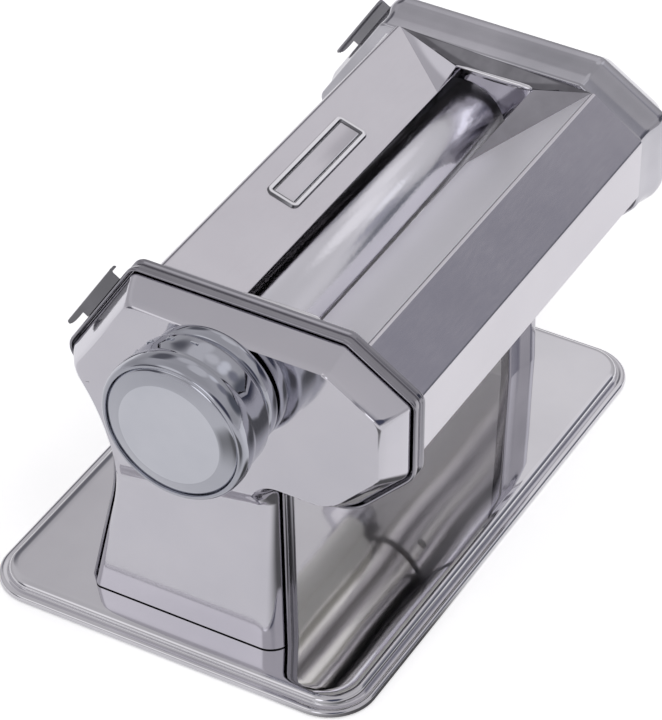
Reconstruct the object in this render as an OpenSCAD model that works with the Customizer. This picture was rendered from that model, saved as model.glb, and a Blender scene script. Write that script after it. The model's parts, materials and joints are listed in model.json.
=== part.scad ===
// Pasta roller machine: two polished steel rollers between side frames, a folded hopper over them,
// and a knob that turns an eccentric shaft to set the gap between the rollers.
// Millimetres. X runs along the rollers with the knob at -X and the crank socket at +X,
// -Y is the front, +Z is up. The origin is the centre of the underside that the machine stands on.

/* [Base] */
// Length of the base plate, along the rollers
base_l = 236; // [225:1:300]
// Width of the base plate, front to rear
base_w = 155; // [145:1:200]
// Height of the base plate's top face above the table
base_h = 6.6; // [6:0.1:14]
// Radius of the base plate's corners
base_r = 18.4; // [10:0.2:30]
// Height of the bead round the foot of the base plate
bead_h = 3.4; // [2.8:0.1:4.2]
// How far the base plate steps in above its bead
bead_step = 3.6; // [1:0.1:8]
// Thickness of the base plate's steel
base_t = 1.2; // [0.8:0.1:1.6]
// How far the rubber pad stands out below the base plate
pad_proud = 0.6; // [0.3:0.1:1.5]

/* [Frames] */
// Height of the frames' flat top above the table
total_h = 155; // [148:1:190]
// How far the side rims' outer edges stand beyond half the hopper's length
rim_margin = 18.6; // [18:0.2:26]
// Depth of the left side plate's dish, from its web to the edge of its rim
left_dish = 7; // [6:0.2:9]
// Depth of the right side plate's dish, which holds the gears
right_dish = 18.4; // [17.8:0.2:24]
// How much of the right dish is full size; the rest steps in
right_rim = 7; // [4:0.2:10]
// How far the right dish steps in behind its rim
right_step = 2; // [0.5:0.1:2.2]
// Thickness of the side plates' steel
plate_t = 1.2; // [0.8:0.1:1.6]
// Front face of the head, ahead of the middle of the base
head_front = 90.3; // [88:0.1:100]
// Front end of the head's flat top
top_front = 63.5; // [58:0.5:66]
// Rear end of the head's flat top
top_rear = 20.7; // [19:0.1:26]
// Rear low corner of the head, behind the middle of the base
head_rear = 48.5; // [46:0.5:60]
// Height from the head's flat top down to the end of its front chamfer
chamfer_drop = 17; // [14:0.5:20]
// Height of the head's upright front face
front_face_h = 31.7; // [28:0.1:34]
// Height from the head's flat top down to its underside
head_h = 74; // [70:0.5:78]
// Height from the head's flat top down to its rear low corner
rear_drop = 44.2; // [40:0.2:48]
// Front edge of the leg at the neck, ahead of the middle of the base
leg_front = 39.6; // [34:0.2:42]
// Rear edge of the leg at its waist, behind the middle of the base
leg_waist = 26.3; // [24:0.1:34]
// Height from the head's flat top down to the leg's waist
waist_drop = 78.2; // [74:0.2:84]
// Rear edge of the leg at the base
foot_rear = 38; // [32:0.5:46]
// Front edge of the leg at the base
foot_front = 41.6; // [36:0.2:46]
// How far the attachment rails stand off the rear slope of the rims
rail_stand = 4.8; // [4:0.1:6]
// Length of the attachment rails down the rear slope
rail_l = 34; // [20:1:36]

/* [Covers] */
// How far the head of each cover stands out beyond its rim
cover_proud = 10.3; // [8:0.1:16]
// How far the leg of each cover stands out beyond its rim
cover_leg_proud = 4.8; // [3:0.1:7]
// Dark groove between a cover and the rim round it
cover_gap = 0.8; // [0.6:0.1:2]
// Thickness of the covers' steel
cover_t = 1; // [0.7:0.1:1.4]
// How far the cover's sloping wall leans in between the rim and its face
cover_lean = 5; // [3:0.5:6]
// Height from the head's flat top down to the crease between a cover's head and leg
crease_drop = 87; // [84:1:94]
// Slope of that crease, rising to the front
crease_angle = 12; // [0:1:16]

/* [Rollers] */
// Radius of both rollers
roller_r = 14.7; // [13.5:0.1:15]
// Height of the drive roller's axis below the head's top
roller_drop = 27; // [26:0.1:30]
// Axis of the adjustable roller at its widest gap, ahead of the middle of the base
roller_front = 20.4; // [18:0.1:22]
// Smallest gap between the rollers
gap_min = 0.3; // [0.2:0.05:0.6]
// Radius of the adjustable roller's bore
roller_bore_r = 8; // [7.7:0.1:8.4]
// Radius of the sleeve that carries the adjustable roller's gear
sleeve_r = 9.5; // [9.2:0.1:9.8]
// Radius of the drive roller's shaft
drive_shaft_r = 7; // [6:0.1:7.6]
// Number of teeth on each gear
gear_teeth = 12; // [11:1:13]
// How far the gear teeth stand out beyond the rollers' radius
tooth_proud = 2.5; // [2.3:0.05:2.7]
// Width of the gears' teeth along the rollers
gear_w = 8; // [5:0.5:9]

/* [Regulator] */
// Offset of the eccentric, half the distance between its furthest points
eccentric = 1.45; // [1.2:0.05:1.5]
// Turn between one thickness setting and the next, in degrees
step_angle = 20; // [15:1:20]
// Number of thickness settings
settings = 7; // [5:1:7]
// Radius of the eccentric part of the regulator shaft
eccentric_r = 5.5; // [5.4:0.1:5.8]
// Radius of the regulator shaft in the left frame and cover
journal_r = 8; // [7.4:0.1:8.4]
// Radius of the regulator shaft in the bearing bridge
tail_r = 3.8; // [3:0.1:3.9]
// Largest radius of the knob
knob_r = 28.3; // [27:0.1:32]
// Distance from the cover's face to the rim of the knob
knob_reach = 30; // [29:0.5:36]
// Gap between the cover's face and the back of the knob
knob_gap = 0.8; // [0.5:0.1:1.5]
// Radius of the circle on which the index pin stands
index_circle_r = 17; // [16.5:0.1:17.8]
// Radius of the index pin
index_pin_r = 2; // [1.6:0.1:2.2]

/* [Hopper] */
// Thickness of the folded guards and hopper ends
guard_t = 0.8; // [0.6:0.1:1]
// Distance between the two hopper end plates
hopper_l = 157.2; // [146:0.2:168]
// How far the hopper's middle stands toward the knob from the middle of the base
hopper_shift = 5.6; // [5:0.1:6]
// Gap between a hopper end's concave edge and the roller
hopper_clear = 0.6; // [0.4:0.1:1]
// Radius of the tie rods
tie_r = 4; // [3:0.1:4.4]

/* [Crank] */
// Radius of the socket in the drive shaft that takes the crank
socket_r = 4.05; // [3.5:0.05:4.6]
// Depth of that socket
socket_l = 18; // [12:0.5:18]

/* [Hidden] */

$fn = 64;
run_gap = 0.04;       // radial clearance of every turning fit
free_gap = 0.4;       // space between parts that pass each other
sharp = 0;            // corner without rounding
arc_steps = 6;        // flats that make up one rounded corner of an outline
past = 1;             // how far a cutting shape runs past what it cuts

// Places along X
rim_x = hopper_l / 2 + rim_margin;
left_web = rim_x - left_dish;       // inner face of the left side plate, as a distance from the middle
right_web = rim_x - right_dish;     // inner face of the right side plate
face_x = rim_x + cover_proud;       // flat face of both covers' heads
hopper_left = -hopper_l / 2 - hopper_shift;
hopper_right = hopper_l / 2 - hopper_shift;
bush_flange = 1.3;                  // thickness of every bush's flange
roller_left = -left_web + bush_flange + free_gap;
roller_right = right_web - bush_flange - free_gap;
gear_x = right_web + plate_t + 2;   // inner face of both gears
bridge_t = 2.5;
bridge_x = gear_x + gear_w + 1.2 + free_gap; // inner face of the bearing bridge

// Axes of the rollers and of the regulator shaft, seen along X
half_turn = step_angle * (settings - 1) / 2;
swing = eccentric * sin(half_turn);           // how far the roller moves to each side
lift_end = eccentric * cos(half_turn);
axis_z = total_h - roller_drop;
shaft_y = -roller_front + swing;
shaft_z = axis_z - (eccentric + lift_end) / 2;
roller_z = shaft_z + lift_end;                // adjustable roller at its widest gap
least_centres = 2 * roller_r + gap_min;
drive_y = shaft_y + swing + least_centres;

// Corners of the frames' outline as [y, z, radius], anticlockwise from the rear of the foot.
// The feet run down into the base, and the floor cut ends them on its top face.
foot_z = -20;
foot_slope = (foot_rear - leg_waist) / (total_h - waist_drop - base_h);
front_slope = (foot_front - leg_front) / (total_h - head_h - base_h);
frame_corners = [
    [foot_rear + foot_slope * (base_h - foot_z), foot_z, sharp],
    [leg_waist, total_h - waist_drop, -70],
    [head_rear, total_h - rear_drop, 7],
    [top_rear, total_h, 6],
    [-top_front, total_h, 6],
    [-head_front, total_h - chamfer_drop, 5],
    [-head_front, total_h - chamfer_drop - front_face_h, 10],
    [-leg_front - 27, total_h - head_h, 20],
    [-leg_front, total_h - head_h, -3],
    [-foot_front - front_slope * (base_h - foot_z), foot_z, sharp]];

// ---- outlines ----

function unit(v) = v / norm(v);
function left_of(v) = [-v[1], v[0]];
function xy(p) = [p[0], p[1]];
function turned(v, a) = [v[0] * cos(a) - v[1] * sin(a), v[0] * sin(a) + v[1] * cos(a)];

// Corner i of closed outline c, moved inward by d. Its radius shrinks, or grows on an inside corner.
function inset_corner(c, i, d) =
    let (n = len(c), q = xy(c[i]), r = c[i][2],
        u = unit(q - xy(c[(i + n - 1) % n])), v = unit(xy(c[(i + 1) % n]) - q),
        m = (left_of(u) + left_of(v)) * d / (1 + left_of(u) * left_of(v)))
    [q[0] + m[0], q[1] + m[1], r == sharp ? sharp : r > 0 ? max(r - d, 0.5) : r - d];
function inset(c, d) = [for (i = [0 : len(c) - 1]) inset_corner(c, i, d)];

// The points that round off corner q between directions u and v; a negative radius marks an inside corner.
function rounded_corner(q, u, v, r) =
    let (a = acos(min(max(u * v, -1), 1)), side = sign(r), o = q - u * abs(r) * tan(a / 2) + left_of(u) * r)
    [for (k = [0 : arc_steps]) o + turned(-left_of(u) * r, side * a * k / arc_steps)];
function outline(c) = let (n = len(c)) [for (i = [0 : n - 1])
    let (q = xy(c[i]), u = unit(q - xy(c[(i + n - 1) % n])), v = unit(xy(c[(i + 1) % n]) - q))
    each c[i][2] == sharp ? [q] : rounded_corner(q, u, v, c[i][2])];

// An open path with its inner corners rounded, and the outline of a strip of thickness t to its left
function open_path(c) = let (n = len(c)) [for (i = [0 : n - 1])
    each i == 0 || i == n - 1 || c[i][2] == sharp ? [xy(c[i])] :
        rounded_corner(xy(c[i]), unit(xy(c[i]) - xy(c[i - 1])), unit(xy(c[i + 1]) - xy(c[i])), c[i][2])];
function path_side(p, i) = let (n = len(p),
        u = i == 0 ? unit(p[1] - p[0]) : unit(p[i] - p[i - 1]),
        v = i == n - 1 ? unit(p[n - 1] - p[n - 2]) : unit(p[i + 1] - p[i]))
    (left_of(u) + left_of(v)) / (1 + left_of(u) * left_of(v));
function strip(p, t) = concat(p, [for (i = [len(p) - 1 : -1 : 0]) p[i] + path_side(p, i) * t]);

// Point at distance s down the rear slope of the rims and height h off it
slope_dir = unit([head_rear - top_rear, -rear_drop]);
function on_slope(s, h) = [top_rear, total_h] + slope_dir * s + left_of(slope_dir) * h;

// ---- shared shapes ----

module along_x(x, l) translate([x, 0, 0]) rotate([90, 0, 90]) linear_extrude(l) children();
module rod(x0, x1, r, y, z) translate([min(x0, x1), y, z]) rotate([0, 90, 0])
    cylinder(h = abs(x1 - x0), r = r);
module ring(x0, x1, r, bore, y, z) difference() {
    rod(x0, x1, r, y, z);
    rod(min(x0, x1) - past, max(x0, x1) + past, bore, y, z);
}
module above_base(z = base_h) difference() {
    children();
    translate([-base_l, -base_w, z - 2 * total_h]) cube([2 * base_l, 2 * base_w, 2 * total_h]);
}
module rounded_slab(l, w, r, z0, z1) translate([0, 0, z0]) {
    translate([-l / 2 + r, -w / 2, 0]) cube([l - 2 * r, w, z1 - z0]);
    translate([-l / 2, -w / 2 + r, 0]) cube([l, w - 2 * r, z1 - z0]);
    for (x = [-1, 1], y = [-1, 1])
        translate([x * (l / 2 - r), y * (w / 2 - r), 0]) cylinder(h = z1 - z0, r = r);
}

// ---- base ----

foot_screw_r = 2;
foot_screw_x = rim_x - 1.2;
foot_screw_ys = [-20, 17];
head_l = 2;                    // thickness of every screw head
nut_l = 2.4;                   // thickness of every nut
tab_t = plate_t;

module base_plate() color([0.72, 0.72, 0.76]) difference() {
    union() {
        rounded_slab(base_l, base_w, base_r, pad_proud, bead_h);
        rounded_slab(base_l - 2 * bead_step, base_w - 2 * bead_step, base_r - bead_step, bead_h, base_h);
    }
    rounded_slab(base_l - 2 * base_t, base_w - 2 * base_t, base_r - base_t, pad_proud - past, bead_h - base_t);
    rounded_slab(base_l - 2 * (bead_step + base_t), base_w - 2 * (bead_step + base_t),
        base_r - bead_step - base_t, bead_h - base_t - past, base_h - base_t);
    foot_screw_places() cylinder(h = base_h + past, r = foot_screw_r);
}

module foot_screw_places() for (s = [-1, 1], y = foot_screw_ys) translate([s * foot_screw_x, y, 0]) children();

module base_pad() color([0.12, 0.12, 0.13]) difference() {
    union() {
        rounded_slab(base_l - 2 * base_t - 0.6, base_w - 2 * base_t - 0.6, base_r - base_t - 0.3,
            0, bead_h - base_t);
        rounded_slab(base_l - 2 * (bead_step + base_t) - 0.6, base_w - 2 * (bead_step + base_t) - 0.6,
            base_r - bead_step - base_t - 0.3, bead_h - base_t, base_h - base_t);
    }
    foot_screw_places() translate([0, 0, base_h - base_t - head_l - 0.3]) cylinder(h = head_l + past, r = 4.6);
}

module foot_screws() color([0.6, 0.6, 0.62]) foot_screw_places() {
    translate([0, 0, base_h - base_t - head_l]) cylinder(h = head_l, r = 4);
    translate([0, 0, base_h - base_t]) cylinder(h = base_t + tab_t + nut_l + 0.6, r = foot_screw_r - run_gap);
}

module foot_nuts() color([0.6, 0.6, 0.62]) foot_screw_places() translate([0, 0, base_h + tab_t]) difference() {
    cylinder(h = nut_l, r = 3.6, $fn = 6);
    translate([0, 0, -past]) cylinder(h = nut_l + 2 * past, r = foot_screw_r);
}

// ---- side frames ----

tie_places = [[-head_front + 17, axis_z - 8], [-leg_front - 9, total_h - head_h + 13],
    [drive_y + roller_r, axis_z - roller_r - 6]];

// Foot of a side plate, turned in under its cover and screwed to the base
module foot_tab(web) above_base() difference() {
    translate([web, -30, base_h]) cube([rim_x + 2 - web, 56, tab_t]);
    for (y = foot_screw_ys) translate([foot_screw_x, y, 0]) cylinder(h = 2 * base_h, r = foot_screw_r);
}

// Rolled rail on the rear slope of the rim: the sheet runs out, turns up and comes back over
module attachment_rail() {
    top = 9;
    module wall(x, w, s0, s1, h0, h1) along_x(x, w)
        polygon([on_slope(s0, h0), on_slope(s1, h0), on_slope(s1, h1), on_slope(s0, h1)]);
    wall(rim_x - plate_t, plate_t, top, top + rail_l - 8, -0.5, rail_stand - 1);
    wall(rim_x - plate_t, plate_t, top + 0.1, top + rail_l, rail_stand - 2.2, rail_stand - 0.1);
    wall(rim_x - 4.4, 4.3, top, top + rail_l - 0.1, rail_stand - plate_t, rail_stand);
}

module side_plate(dish_l, rim_l, step) {
    web = rim_x - dish_l;
    above_base() {
        along_x(web, plate_t) difference() {
            polygon(outline(inset(frame_corners, step)));
            children();
        }
        if (step > 0) {
            along_x(web, dish_l - rim_l + plate_t) difference() {
                polygon(outline(inset(frame_corners, step)));
                polygon(outline(inset(frame_corners, step + plate_t)));
            }
            along_x(rim_x - rim_l, plate_t) difference() {
                polygon(outline(frame_corners));
                polygon(outline(inset(frame_corners, step + plate_t)));
            }
        }
        along_x(rim_x - rim_l, rim_l) difference() {
            polygon(outline(frame_corners));
            polygon(outline(inset(frame_corners, plate_t)));
        }
    }
    foot_tab(web);
    attachment_rail();
}

module tie_holes() for (p = tie_places) translate(p) circle(r = tie_hole_r);
tie_end_r = tie_r - 1.4;
tie_hole_r = tie_end_r + run_gap;

module left_side_plate() color([0.75, 0.75, 0.79]) mirror([1, 0, 0]) side_plate(left_dish, left_dish, 0) {
    tie_holes();
    translate([shaft_y, shaft_z]) circle(r = eccentric_bush_r);
    translate([drive_y, axis_z]) circle(r = drive_bush_r);
    translate([shaft_y, shaft_z - index_circle_r]) circle(r = index_pin_r);
}

sleeve_hole_r = sleeve_r + eccentric + free_gap;
module right_side_plate() color([0.75, 0.75, 0.79]) side_plate(right_dish, right_rim, right_step) {
    tie_holes();
    translate([shaft_y, axis_z]) circle(r = sleeve_hole_r);
    translate([drive_y, axis_z]) circle(r = drive_bush_r);
    in_plate_at_posts() circle(r = post_end_r + run_gap);
}

// ---- covers ----

cover_in = plate_t + cover_gap;
cover_layers = 6;              // steps that make up the sloping wall of a cover
face_edge = 1.6;               // extra rounding where the wall meets the face
leg_lean = 1.6;                // how far the leg's wall leans in
crease_slope = 1.4;            // rise of the crease's face for each millimetre it stands out

// How far the wall leans in at a share t of its height
function lean_at(t, lean) = lean * t + face_edge * pow(t, 8);

module above_crease(rise) {
    translate([0, total_h - crease_drop + rise]) rotate(-crease_angle)
        translate([-total_h, 0]) square([2 * total_h, total_h]);
    // ahead of the leg there is only the head
    translate([-total_h, total_h - head_h - cover_in]) square([total_h - leg_front, total_h]);
}

// The head stands out further than the leg, with a sloping crease across the neck between them
module cover_solid(skin) {
    step = cover_in + skin;
    back = rim_x - left_dish + plate_t - (skin > 0 ? past : 0);
    foot = rim_x + 1 - skin;
    leg_x = rim_x + cover_leg_proud - skin;
    layer = (face_x - skin - foot) / cover_layers;
    along_x(back, foot - back) polygon(outline(inset(frame_corners, step)));
    for (k = [0 : cover_layers - 1]) {
        x = foot + k * layer;
        along_x(x, layer) {
            if (x + layer / 2 < leg_x)
                polygon(outline(inset(frame_corners,
                    step + lean_at((x + layer / 2 - foot) / (leg_x - foot), leg_lean))));
            intersection() {
                polygon(outline(inset(frame_corners, step + lean_at((k + 0.5) / cover_layers, cover_lean))));
                above_crease(skin + max(0, x - leg_x) * crease_slope);
            }
        }
    }
}

// The covers stand just clear of the base, on the web of the side plate behind them
module cover() above_base(base_h + 1) difference() {
    cover_solid(0);
    cover_solid(cover_t);
    children();
}

module left_cover() color([0.78, 0.78, 0.82]) mirror([1, 0, 0]) cover() {
    rod(rim_x, face_x + past, journal_r + free_gap, shaft_y, shaft_z);
    rod(rim_x, face_x + past, index_pin_r + 0.3, shaft_y, shaft_z - index_circle_r);
}

socket_end_r = drive_shaft_r;
module right_cover() color([0.78, 0.78, 0.82]) difference() {
    cover();
    rod(rim_x, face_x + past, socket_end_r + free_gap, drive_y, axis_z);
}

// ---- guards and hopper ----

guard_end = 0.05;               // the guards' ends stand this far off the webs
ridge_front = top_front + 4.8;
ridge_rear = top_rear - 8;
hopper_lip_front = roller_front + roller_r + 0.9;
front_guard_path = [
    [-hopper_lip_front, axis_z + 3.6, sharp],
    [-ridge_front, total_h - 3.6, 4],
    [-head_front + 1.5, total_h - chamfer_drop - 1.6, 1.5],
    [-head_front + 1.6, total_h - chamfer_drop - front_face_h + 5.4, 1],
    [-head_front + 5.4, total_h - chamfer_drop - front_face_h + 4.4, sharp]];
rear_hem = on_slope(-rear_drop / slope_dir[1] - 8.2, -4.4);
rear_guard_path = [
    [rear_hem[0] - 3.6, rear_hem[1] + 0.6, sharp],
    [rear_hem[0], rear_hem[1], 1],
    [ridge_rear, total_h - 0.6, 1.6],
    [-roller_front + 5.1, axis_z + roller_r + 3, sharp]];

module front_guard() color([0.66, 0.66, 0.72])
    along_x(-left_web + guard_end, left_web + right_web - 2 * guard_end)
        polygon(strip(open_path(front_guard_path), guard_t));

badge_l = 53;
badge_w = 13.4;
badge_x = -6.5;
badge_rim = 1.4;
badge_r = 2.6;
module rear_guard() color([0.76, 0.75, 0.77]) {
    along_x(-left_web + guard_end, left_web + right_web - 2 * guard_end)
        polygon(strip(open_path(rear_guard_path), guard_t));
    badge_frame();
}

// Raised frame round a plain panel halfway up the rear guard's hopper slope
module badge_frame() {
    lip = rear_guard_path[3];
    ridge = rear_guard_path[2];
    middle = (xy(lip) + xy(ridge)) / 2;
    translate([badge_x, middle[0], middle[1]])
        rotate([atan2(ridge[1] - lip[1], ridge[0] - lip[0]), 0, 0]) difference() {
            rounded_slab(badge_l, badge_w, badge_r, -0.2, 0.8);
            rounded_slab(badge_l - 2 * badge_rim, badge_w - 2 * badge_rim, badge_r - badge_rim,
                0.2, 0.8 + past);
        }
}

// Height of the guards' outer faces along the two slopes of the hopper
function on_line(p, q, y) = p[1] + (q[1] - p[1]) * (y - p[0]) / (q[0] - p[0]);
function front_slope(y) = on_line(front_guard_path[0], front_guard_path[1], y);
function rear_slope(y) = on_line(rear_guard_path[3], rear_guard_path[2], y);

// End plate with a concave edge round the roller, and its folded top that rises to the side plate.
// The fold's tip reaches in over the rear slope.
module hopper_end(x_in, x_out, reach) {
    lift = guard_t + guard_end;
    fold_rise = 1;
    rear_y = -roller_front + 5.3;
    front_y = -roller_front - 26;
    ridge_y = ridge_rear - 1.5;
    fall_y = 1 - ridge_front;
    fold_z = rear_slope(rear_y) + lift + fold_rise;
    top = [[x_in - reach, rear_y, fold_z - fold_rise], [x_in, rear_y, fold_z], [x_in, front_y, fold_z + 1.2],
        [x_out, fall_y, front_slope(fall_y) + lift], [x_out, ridge_y, rear_slope(ridge_y) + lift]];
    polyhedron(concat(top, [for (p = top) p - [0, 0, guard_t]]),
        concat([[1, 3, 2], [1, 4, 3], [0, 4, 1], [6, 7, 8], [6, 8, 9], [5, 6, 9]],
            [for (i = [0 : 4]) each [[i, (i + 1) % 5, (i + 1) % 5 + 5], [i, (i + 1) % 5 + 5, i + 5]]]));
    difference() {
        along_x(x_in, guard_t) polygon([[rear_y - 0.2, fold_z - 0.1], [front_y + 0.2, fold_z + 1.1],
            [front_y + 0.2, front_slope(front_y) + guard_end],
            [-hopper_lip_front, front_slope(-hopper_lip_front) + guard_end],
            [-roller_front, axis_z], [rear_y - 0.2, axis_z + roller_r]]);
        rod(x_in - 3, x_in + 3, roller_r + eccentric + hopper_clear, shaft_y, shaft_z + lift_end / 2);
    }
}

module left_hopper_end() color([0.7, 0.7, 0.75]) mirror([1, 0, 0])
    hopper_end(-hopper_left, left_web - guard_end, 3);
module right_hopper_end() color([0.7, 0.7, 0.75]) hopper_end(hopper_right, right_web - guard_end, 14);

module tie_rods() color([0.62, 0.62, 0.64]) for (p = tie_places) {
    rod(-left_web, right_web, tie_r, p[0], p[1]);
    rod(-left_web - plate_t - nut_l - 0.6, right_web + plate_t + nut_l + 0.6, tie_end_r, p[0], p[1]);
}

module tie_rod_nuts() color([0.62, 0.62, 0.64]) for (p = tie_places,
    x = [-left_web - plate_t - nut_l, right_web + plate_t])
    translate([x, p[0], p[1]]) rotate([0, 90, 0]) difference() {
        cylinder(h = nut_l, r = 4.6, $fn = 6);
        translate([0, 0, -past]) cylinder(h = nut_l + 2 * past, r = tie_end_r + run_gap);
    }

// ---- drive roller ----

drive_bush_r = drive_shaft_r + 1.8;
pin_r = 1;

module drive_roller() color([0.8, 0.8, 0.83]) difference() {
    union() {
        rod(roller_left, roller_right, roller_r, drive_y, axis_z);
        rod(-left_web - plate_t - 5, face_x + 0.5, drive_shaft_r, drive_y, axis_z);
    }
    rod(face_x + 0.5 - socket_l, face_x + 0.5 + past, socket_r, drive_y, axis_z);
    // cross slot that takes the crank's drive pin
    translate([face_x + 0.5 - 3, drive_y - drive_shaft_r - past, axis_z - 1.2])
        cube([3 + past, 2 * (drive_shaft_r + past), 2.4]);
    gear_pin_hole();
    ring(-left_web - plate_t - 3.4, -left_web - plate_t - 2.2, drive_shaft_r + past, drive_shaft_r - 1,
        drive_y, axis_z);
}

module gear_pin_hole() translate([gear_x + gear_w / 2, drive_y, axis_z])
    cylinder(h = 4 * roller_r, r = pin_r, center = true);

gear_tip_r = roller_r + tooth_proud;
gear_root_r = least_centres - gear_tip_r - 0.3;
tooth_arc = PI * (gear_tip_r + gear_root_r) / gear_teeth;    // one pitch at half the teeth's height

// Long slim teeth stay in mesh, and clear of each other, over the whole travel of the roller gap
function gear_points(phase) = [for (k = [0 : gear_teeth - 1],
        p = [[gear_root_r, -0.18], [gear_tip_r - 0.5, -0.11], [gear_tip_r, -0.07],
            [gear_tip_r, 0.07], [gear_tip_r - 0.5, 0.11], [gear_root_r, 0.18]])
    turned([p[0], p[1] * tooth_arc], phase + k * 360 / gear_teeth)];

module drive_gear() color([0.55, 0.55, 0.56]) difference() {
    along_x(gear_x, gear_w) translate([drive_y, axis_z]) polygon(gear_points(180));
    rod(gear_x - past, gear_x + gear_w + past, drive_shaft_r, drive_y, axis_z);
    gear_pin_hole();
}

module gear_pin() color([0.5, 0.5, 0.5]) translate([gear_x + gear_w / 2, drive_y, axis_z])
    cylinder(h = 2 * (gear_root_r - 0.8), r = pin_r, center = true);

module flanged_bush(x, out, r, bore, y, z) {
    ring(x, x + out * (plate_t + 2), r, bore, y, z);
    ring(x - out * bush_flange, x, r + 1.8, bore, y, z);
}

module drive_bushes() color([0.72, 0.55, 0.3]) {
    flanged_bush(-left_web, -1, drive_bush_r, drive_shaft_r + run_gap, drive_y, axis_z);
    flanged_bush(right_web, 1, drive_bush_r, drive_shaft_r + run_gap, drive_y, axis_z);
    ring(bridge_x, bridge_x + bridge_t, drive_bush_r, drive_shaft_r + run_gap, drive_y, axis_z);
}

module drive_clip() color([0.4, 0.4, 0.42]) difference() {
    ring(-left_web - plate_t - 3.3, -left_web - plate_t - 2.3, drive_shaft_r + 2.5, drive_shaft_r - 1,
        drive_y, axis_z);
    translate([-left_web - plate_t - 4, drive_y - 3, axis_z]) cube([3, 6, drive_shaft_r + 4]);
}

// ---- adjustable roller ----

gear_phase = (gear_teeth % 2 == 0 ? 180 / gear_teeth : 0);

module adjustable_roller() color([0.8, 0.8, 0.83]) difference() {
    union() {
        rod(roller_left, roller_right, roller_r, -roller_front, roller_z);
        rod(roller_right, gear_x + gear_w, sleeve_r, -roller_front, roller_z);
    }
    rod(roller_left - past, gear_x + gear_w + past, roller_bore_r, -roller_front, roller_z);
}

module adjustable_gear() color([0.55, 0.55, 0.56]) difference() {
    along_x(gear_x, gear_w) translate([-roller_front, roller_z]) polygon(gear_points(gear_phase));
    rod(gear_x - past, gear_x + gear_w + past, sleeve_r, -roller_front, roller_z);
}

module roller_sleeve() color([0.72, 0.55, 0.3])
    ring(roller_left, gear_x + gear_w, roller_bore_r - run_gap, eccentric_r + run_gap,
        -roller_front, roller_z);

// ---- regulator ----

eccentric_bush_r = journal_r + 1.8;
knob_back = face_x + knob_gap;
knob_front = face_x + knob_reach;
seat_r = 6;                         // knob seat on the shaft, with two flats
seat_end = knob_back + 19;
flat_half = 4.8;
hub_r = 9.5;
knob_screw_r = 2;
hub_end = knob_back + 10;

module flatted(x0, x1, r, half) intersection() {
    rod(x0, x1, r, shaft_y, shaft_z);
    translate([min(x0, x1) - past, shaft_y - r - past, shaft_z - half])
        cube([abs(x1 - x0) + 2 * past, 2 * (r + past), 2 * half]);
}

module eccentric_shaft() color([0.66, 0.66, 0.68]) difference() {
    union() {
        rod(roller_left - free_gap, bridge_x - free_gap, eccentric_r, -roller_front, roller_z);
        rod(bridge_x - free_gap, bridge_x + bridge_t, tail_r, shaft_y, shaft_z);
        rod(-knob_back + 0.5, roller_left - free_gap, journal_r, shaft_y, shaft_z);
        flatted(-seat_end, -knob_back + 0.5, seat_r, flat_half);
    }
    rod(-seat_end - past, -seat_end + 9, knob_screw_r, shaft_y, shaft_z);
}

module eccentric_bushes() color([0.72, 0.55, 0.3]) {
    flanged_bush(-left_web, -1, eccentric_bush_r, journal_r + run_gap, shaft_y, shaft_z);
    ring(bridge_x, bridge_x + bridge_t, tail_r + 1.8, tail_r + run_gap, shaft_y, shaft_z);
}

// The knob is a cup on a hub. The index pin stands in the arc of seven pockets in its back.
groove_l = 3.4;
module regulator_knob() color([0.8, 0.8, 0.84]) difference() {
    translate([0, shaft_y, shaft_z]) rotate([0, -90, 0]) rotate_extrude($fn = 96) polygon([
        [0, knob_back], [knob_r - 4.2, knob_back], [knob_r - 3.4, knob_back + 0.8],
        [knob_r - 3.4, knob_back + 5.6], [knob_r - 4.6, knob_back + 6.4],
        [knob_r - 4.6, knob_back + 7.6], [knob_r - 1.2, knob_back + 9],
        [knob_r - 1.2, knob_front - 8], [knob_r, knob_front - 6], [knob_r, knob_front - 2],
        [knob_r - 1.4, knob_front], [knob_r - 2.6, knob_front], [knob_r - 2.6, knob_front - 2],
        [knob_r - 3.2, knob_front - 2], [knob_r - 3.2, knob_back + 10], [knob_r - 7, knob_back + 6],
        [hub_r, knob_back + 6], [hub_r, hub_end], [0, hub_end]]);
    flatted(-hub_end - past, -knob_back + past, seat_r + 0.1, flat_half + 0.1);
    index_pockets();
}

pocket_r = index_pin_r + 1.2;
module index_pockets() {
    for (k = [0 : settings - 1]) translate([0, shaft_y, shaft_z]) rotate([-90 + k * step_angle, 0, 0])
        rod(-knob_back - groove_l, -knob_back + past, pocket_r, index_circle_r, 0);
    intersection() {
        ring(-knob_back - groove_l, -knob_back + past, index_circle_r + index_pin_r + 0.4,
            index_circle_r - index_pin_r - 0.4, shaft_y, shaft_z);
        along_x(-knob_back - groove_l - past, groove_l + 3 * past) translate([shaft_y, shaft_z])
            polygon([[0, 0], for (k = [0 : settings - 1]) turned([2 * knob_r, 0], k * step_angle - 90)]);
    }
}

cap_r = knob_r - 2.7;
module knob_cap() color([0.85, 0.85, 0.88]) translate([0, shaft_y, shaft_z]) rotate([0, -90, 0])
    rotate_extrude($fn = 96) polygon([[0, knob_front - 2], [cap_r, knob_front - 2], [cap_r, knob_front - 0.6],
        [cap_r - 1.5, knob_front + 0.1], [cap_r - 5, knob_front - 0.2], [cap_r - 7, knob_front + 0.4],
        [cap_r - 12, knob_front + 1.1], [0, knob_front + 1.6]]);

washers = 6;                        // dished washers that make up the knob's spring
washer_in = seat_r + 0.6;
washer_out = hub_r - 0.4;
washer_t = 0.5;
spring_start = hub_end + washer_t + 0.3;
module knob_spring() color([0.5, 0.5, 0.52]) translate([0, shaft_y, shaft_z]) rotate([0, -90, 0])
    rotate_extrude() polygon(strip([for (k = [0 : washers])
        [k % 2 == 0 ? washer_in : washer_out - washer_t,
            spring_start + (seat_end - spring_start - washer_t) * k / washers]], -washer_t));

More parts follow.
